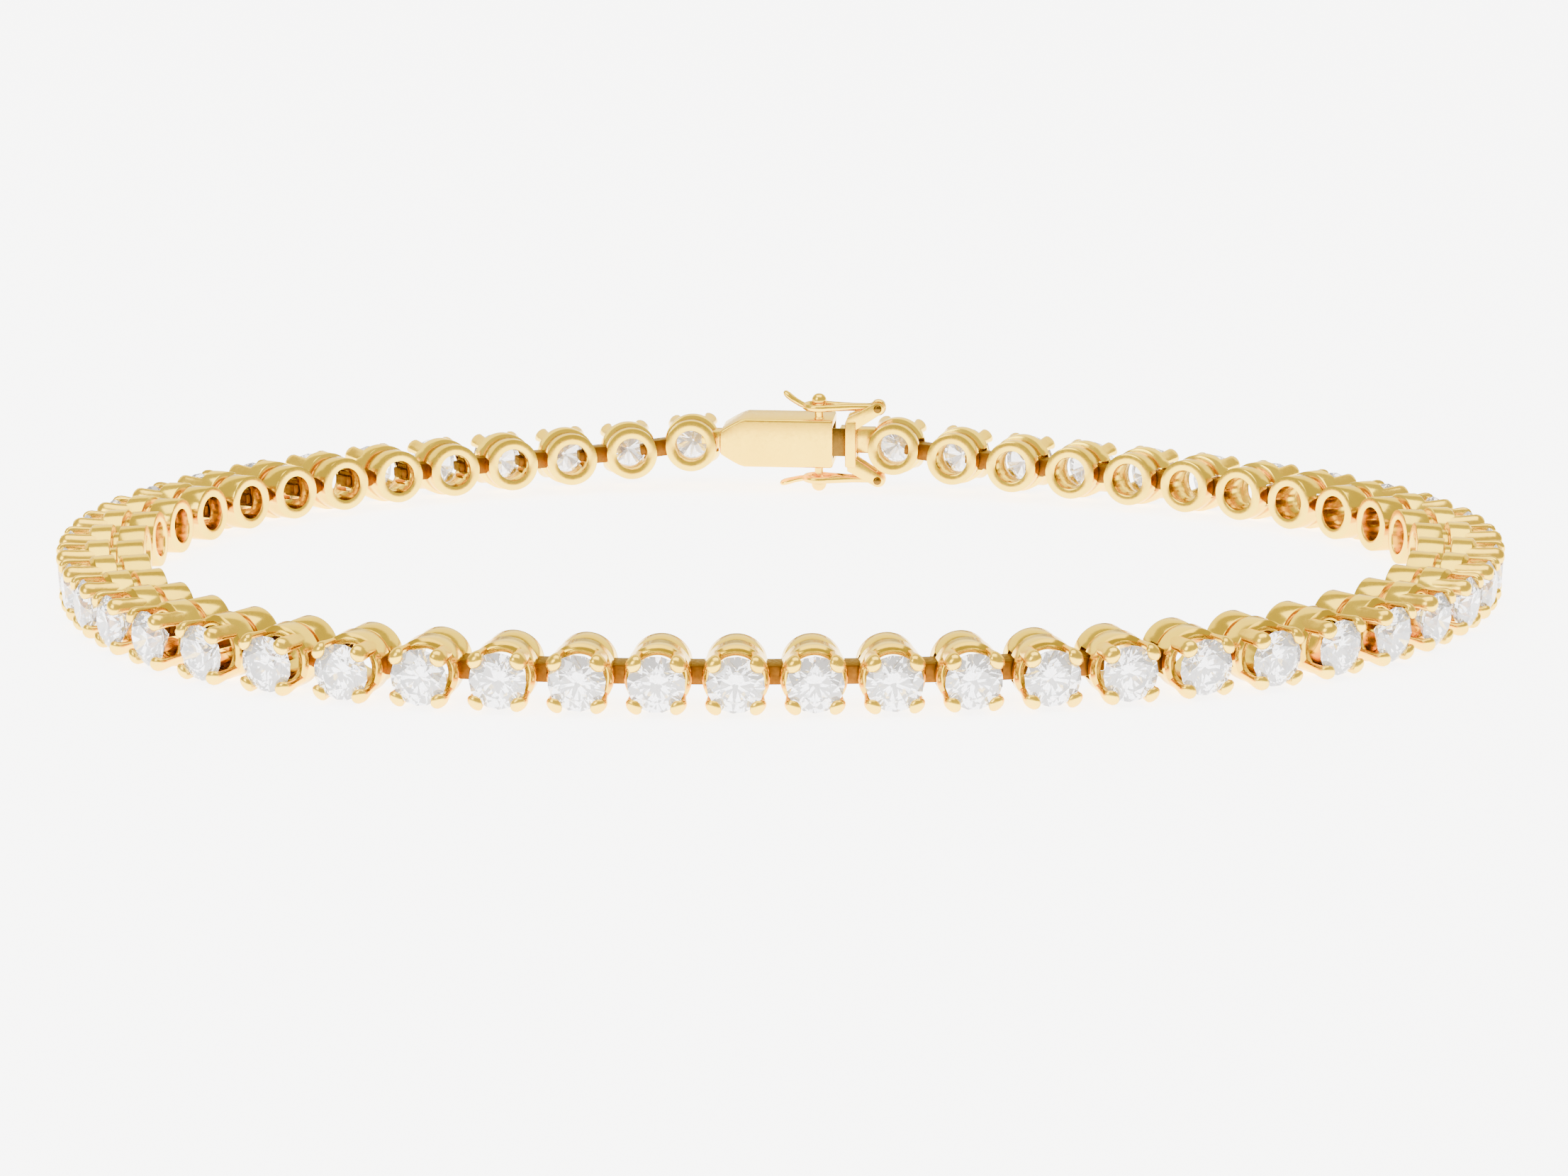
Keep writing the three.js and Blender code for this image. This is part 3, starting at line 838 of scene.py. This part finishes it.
def plate_form():
    """End plate with the forked arms of both hinges."""
    plate = rounded_block(
        (plate_start, -BOX_OUTER, -PLATE_HALF),
        (plate_end, BOX_INNER, PLATE_HALF),
        PLATE_BEVEL,
        PLATE_BEVEL_STEPS,
    )
    slot_half = END_TAB_HALF + HINGE_CLEARANCE
    slot = rounded_block(
        (plate_start - CUT_OVERRUN, -TAB_OUTER - HINGE_CLEARANCE, -slot_half),
        (plate_end + CUT_OVERRUN, END_TAB_INNER + HINGE_CLEARANCE, slot_half),
        0,
    )
    forms = [cut(plate, slot)]
    offset = EYE_HALF + CHEEK_GAP + CHEEK_THICKNESS / 2
    for side in (1, -1):
        forms += [cheek_form(side, CATCH_INWARD - offset), cheek_form(side, CATCH_INWARD + offset)]
    return together(forms)


def leaf_form():
    """Spring leaf: a straight tongue, folded back at its end."""
    leaf_top = BOX_INNER - BOX_WALL - LEAF_CLEARANCE
    leaf_end = mouth + LEAF_LENGTH
    tail_start = mouth + LEAF_CLEARANCE
    middle = leaf_top - LEAF_THICKNESS / 2
    tail_run = leaf_end - tail_start
    upper = rounded_block(
        (plate_end - LEAF_LAP, leaf_top - LEAF_THICKNESS, -LEAF_HALF),
        (leaf_end, leaf_top, LEAF_HALF),
        LEAF_BEVEL,
    )
    tail = rounded_block(
        (0, -LEAF_THICKNESS / 2, -LEAF_HALF),
        (math.hypot(tail_run, LEAF_SPREAD), LEAF_THICKNESS / 2, LEAF_HALF),
        LEAF_BEVEL,
    )
    tail_turn = Matrix.Rotation(math.atan2(LEAF_SPREAD, tail_run), 4, "Z")
    tail_place = Matrix.Translation((tail_start, middle - LEAF_SPREAD, 0))
    return together([upper, moved(tail, tail_place @ tail_turn)])


def end_tab_form():
    """Tall tab of the last link, through the end plate, with its head behind the plate."""
    head_start = plate_end + HINGE_CLEARANCE
    head_end = head_start + END_HEAD_LENGTH
    head = rounded_block(
        (head_start, -TAB_OUTER - END_HEAD_DROP, -END_TAB_HALF),
        (head_end, END_TAB_INNER, END_TAB_HALF),
        END_HEAD_BEVEL,
    )
    tab = tab_form(wall_middle - half_span, head_end - END_HEAD_LAP, END_TAB_HALF, END_TAB_INNER)
    return together([tab, head])


def eye_form():
    """Tube that turns on the hinge pin."""
    return lathe(
        [
            (BORE_RADIUS, -EYE_HALF),
            (EYE_RADIUS - EYE_BEVEL, -EYE_HALF),
            (EYE_RADIUS, EYE_BEVEL - EYE_HALF),
            (EYE_RADIUS, EYE_HALF - EYE_BEVEL),
            (EYE_RADIUS - EYE_BEVEL, EYE_HALF),
            (BORE_RADIUS, EYE_HALF),
        ],
        EYE_SIDES,
        wrap=True,
    )


def loop_path():
    """Figure-eight seen from above: round the stud, then drawn in to the eye."""
    reach = stud_along - pin_along - EYE_RADIUS + EYE_LAP
    path = []
    for step in range(LOOP_ARC_STEPS + 1):
        angle = LOOP_OPENING * (2 * step / LOOP_ARC_STEPS - 1)
        path.append((stud_along + SNAP_RADIUS * math.cos(angle), SNAP_RADIUS * math.sin(angle)))
    path += [(stud_along - share * reach, half) for share, half in WAIST_ROWS]
    path += [(stud_along - share * reach, -half) for share, half in WAIST_ROWS[::-1]]
    return path


def thumb_form(side):
    """Tab that a finger lifts, curling away from the box."""
    slope = UPPER_THUMB_SLOPE if side > 0 else LOWER_THUMB_SLOPE
    run = THUMB_LENGTH * math.cos(slope)
    rise = THUMB_LENGTH * math.sin(slope)
    path = []
    for share, width, thickness in THUMB_ROWS:
        lift = rise * ((1 - THUMB_CURL) * share + THUMB_CURL * share**2)
        x = stud_along + SNAP_RADIUS + run * share
        path.append((x, side * (CATCH_HEIGHT + lift), width, thickness))
    return sweep(path, CATCH_INWARD, THUMB_SIDES)


def catch_form(side):
    """Figure-eight catch: hinge eye, wire loop round the stud and thumb tab."""
    height = side * CATCH_HEIGHT
    eye = moved(eye_form(), Matrix.Translation((pin_along, CATCH_INWARD, height)))
    return together([eye, closed_wire(loop_path(), height), thumb_form(side)])


def closed_wire(path, height):
    """Round wire along a closed path in x and y."""
    rows = np.array(path)
    ahead = np.roll(rows, -1, axis=0) - np.roll(rows, 1, axis=0)
    ahead /= np.linalg.norm(ahead, axis=1)[:, None]
    angles = 2 * math.pi * np.arange(WIRE_SIDES) / WIRE_SIDES
    aside = WIRE_RADIUS * np.cos(angles)
    z = height + WIRE_RADIUS * np.sin(angles)
    rings = []
    for (x, y), (way_x, way_y) in zip(rows, ahead):
        ring_x = x - way_y * aside
        ring_y = CATCH_INWARD + y + way_x * aside
        rings.append(np.stack([ring_x, ring_y, z], axis=1))
    return skin(rings, wrap=True)


# Materials

def new_material(name):
    material = bpy.data.materials.new(name)
    material.use_nodes = True
    return material, material.node_tree.nodes["Principled BSDF"].inputs


def noise(material, place, scale, detail):
    texture = material.node_tree.nodes.new("ShaderNodeTexNoise")
    texture.inputs["Scale"].default_value = scale
    texture.inputs["Detail"].default_value = detail
    material.node_tree.links.new(place.outputs["Object"], texture.inputs["Vector"])
    return texture.outputs["Fac"]


def gold_material(name, bright, deep, roughness):
    """Polished gold with faint polishing marks and cloudy changes of gloss."""
    material, shader = new_material(name)
    nodes = material.node_tree.nodes
    links = material.node_tree.links
    shader["Metallic"].default_value = 1
    shader["Specular Tint"].default_value = GRAZING_TINT
    place = nodes.new("ShaderNodeTexCoord")
    cloud = noise(material, place, CLOUD_SCALE, CLOUD_DETAIL)
    colour = nodes.new("ShaderNodeValToRGB")
    colour.color_ramp.elements[0].position = CLOUD_LOW
    colour.color_ramp.elements[0].color = (*deep, 1)
    colour.color_ramp.elements[1].position = CLOUD_HIGH
    colour.color_ramp.elements[1].color = (*bright, 1)
    links.new(cloud, colour.inputs["Fac"])
    links.new(colour.outputs["Color"], shader["Base Color"])
    marks = noise(material, place, MARK_SCALE, MARK_DETAIL)
    gloss = nodes.new("ShaderNodeMapRange")
    gloss.inputs["From Min"].default_value = MARK_LOW
    gloss.inputs["From Max"].default_value = MARK_HIGH
    gloss.inputs["To Min"].default_value = roughness * GLOSSY_SHARE
    gloss.inputs["To Max"].default_value = roughness * DULL_SHARE
    links.new(marks, gloss.inputs["Value"])
    links.new(gloss.outputs["Result"], shader["Roughness"])
    bump = nodes.new("ShaderNodeBump")
    bump.inputs["Strength"].default_value = MARK_STRENGTH
    bump.inputs["Distance"].default_value = MARK_DEPTH
    links.new(marks, bump.inputs["Height"])
    links.new(bump.outputs["Normal"], shader["Normal"])
    return material


def stone_material():
    """Clear colourless stone, with a faint painted glow that keeps it near white."""
    material, shader = new_material("stone_clear")
    shader["Base Color"].default_value = STONE_COLOUR
    shader["Roughness"].default_value = 0
    shader["IOR"].default_value = STONE_INDEX
    shader["Transmission Weight"].default_value = STONE_CLARITY
    shader["Emission Color"].default_value = STONE_PAINTED_GLOW_COLOUR
    shader["Emission Strength"].default_value = STONE_PAINTED_GLOW
    return material


gold = {name: gold_material("gold_" + name, *look) for name, look in GOLDS_WITH_PAINTED_SHADE.items()}
stone_clear = stone_material()


# Pieces

for side_name, start, end in (("left", first_link, -1), ("right", 0, last_link)):
    node = "chain_" + side_name
    forms = run_forms(start, end)
    # Rings, rims and tabs get darker golds as painted shade, while baskets and claws get the lit gold
    for name, material, slot, crease in (
        ("rings", gold["ring"], "gold", SETTING_CREASE),
        ("baskets", gold["basket"], "gold", SETTING_CREASE),
        ("rims", gold["rim"], "gold", SETTING_CREASE),
        ("claws", gold["claw"], "gold", CLAW_CREASE),
        ("tabs", gold["tab"], "gold", SETTING_CREASE),
        ("stones", stone_clear, "stone", 0),
    ):
        piece(name + "_" + side_name, forms[name], material, "root", [node], crease)

pins = together([pin_form(1), pin_form(-1)])
for name, form, kind, slot, body, nodes in (
    ("clasp_box_shell", box_form(), "clasp", "clasp_gold", "root", ["clasp_box"]),
    ("box_tab", box_tab_form(), "clasp", "clasp_gold", "root", ["clasp_box"]),
    ("upper_stud", stud_form(1), "clasp", "clasp_gold", "root", ["clasp_box"]),
    ("lower_stud", stud_form(-1), "clasp", "clasp_gold", "root", ["clasp_box"]),
    ("tongue_plate", plate_form(), "clasp", "clasp_gold", "root", ["clasp_tongue"]),
    # The leaf and the hinge pins get the dark leaf gold, which is painted shade
    ("tongue_leaf", leaf_form(), "leaf", "clasp_gold", "root", ["clasp_tongue"]),
    ("hinge_pins", pins, "leaf", "clasp_gold", "root", ["clasp_tongue"]),
    ("end_tab", end_tab_form(), "clasp", "gold", "root", ["chain_right"]),
    ("upper_catch_wire", catch_form(1), "clasp", "catch_gold", "upper_catch", ["upper_catch"]),
    ("lower_catch_wire", catch_form(-1), "clasp", "catch_gold", "lower_catch", ["lower_catch"]),
):
    piece(name, moved(form, clasp_frame), gold[kind], body, nodes, CLASP_CREASE)


# Floor, light and camera

def floor():
    material, shader = new_material("floor_white")
    shader["Base Color"].default_value = FLOOR_COLOUR
    shader["Roughness"].default_value = FLOOR_ROUGHNESS
    shader["Emission Color"].default_value = FLOOR_GLOW_COLOUR
    shader["Emission Strength"].default_value = FLOOR_GLOW
    mesh = bpy.data.meshes.new("floor")
    corners = [
        (side_x * FLOOR_HALF, side_y * FLOOR_HALF, -FLOOR_DROP)
        for side_x, side_y in ((-1, -1), (1, -1), (1, 1), (-1, 1))
    ]
    mesh.from_pydata(corners, [], [(0, 1, 2, 3)])
    mesh.materials.append(material)
    thing = bpy.data.objects.new("floor", mesh)
    bpy.context.scene.collection.objects.link(thing)


def area_light(name, place, size, power):
    light = bpy.data.lights.new(name, "AREA")
    light.shape = "RECTANGLE"
    light.size, light.size_y = size
    light.energy = power
    thing = bpy.data.objects.new(name, light)
    thing.location = place
    thing.rotation_euler = (-Vector(place)).to_track_quat("-Z", "Y").to_euler()
    bpy.context.scene.collection.objects.link(thing)


def world():
    bpy.context.scene.world = bpy.data.worlds.new("studio")
    bpy.context.scene.world.use_nodes = True
    background = bpy.context.scene.world.node_tree.nodes["Background"]
    background.inputs["Color"].default_value = SKY_COLOUR
    background.inputs["Strength"].default_value = SKY_STRENGTH


def camera():
    data = bpy.data.cameras.new("photo_camera")
    data.lens = CAMERA_LENS
    data.sensor_width = SENSOR_WIDTH
    data.sensor_fit = "HORIZONTAL"
    data.clip_start = CLIP_NEAR
    data.clip_end = CLIP_FAR
    thing = bpy.data.objects.new("photo_camera", data)
    away = Vector((0, -math.cos(CAMERA_ELEVATION), math.sin(CAMERA_ELEVATION)))
    place = loop_middle + away * CAMERA_DISTANCE
    aim = loop_middle + CAMERA_AIM
    thing.location = place * MM
    thing.rotation_euler = (aim - place).to_track_quat("-Z", "Y").to_euler()
    bpy.context.scene.collection.objects.link(thing)
    bpy.context.scene.camera = thing


floor()
world()
for name, place, size, power in LIGHTS:
    area_light(name, place, size, power)
camera()
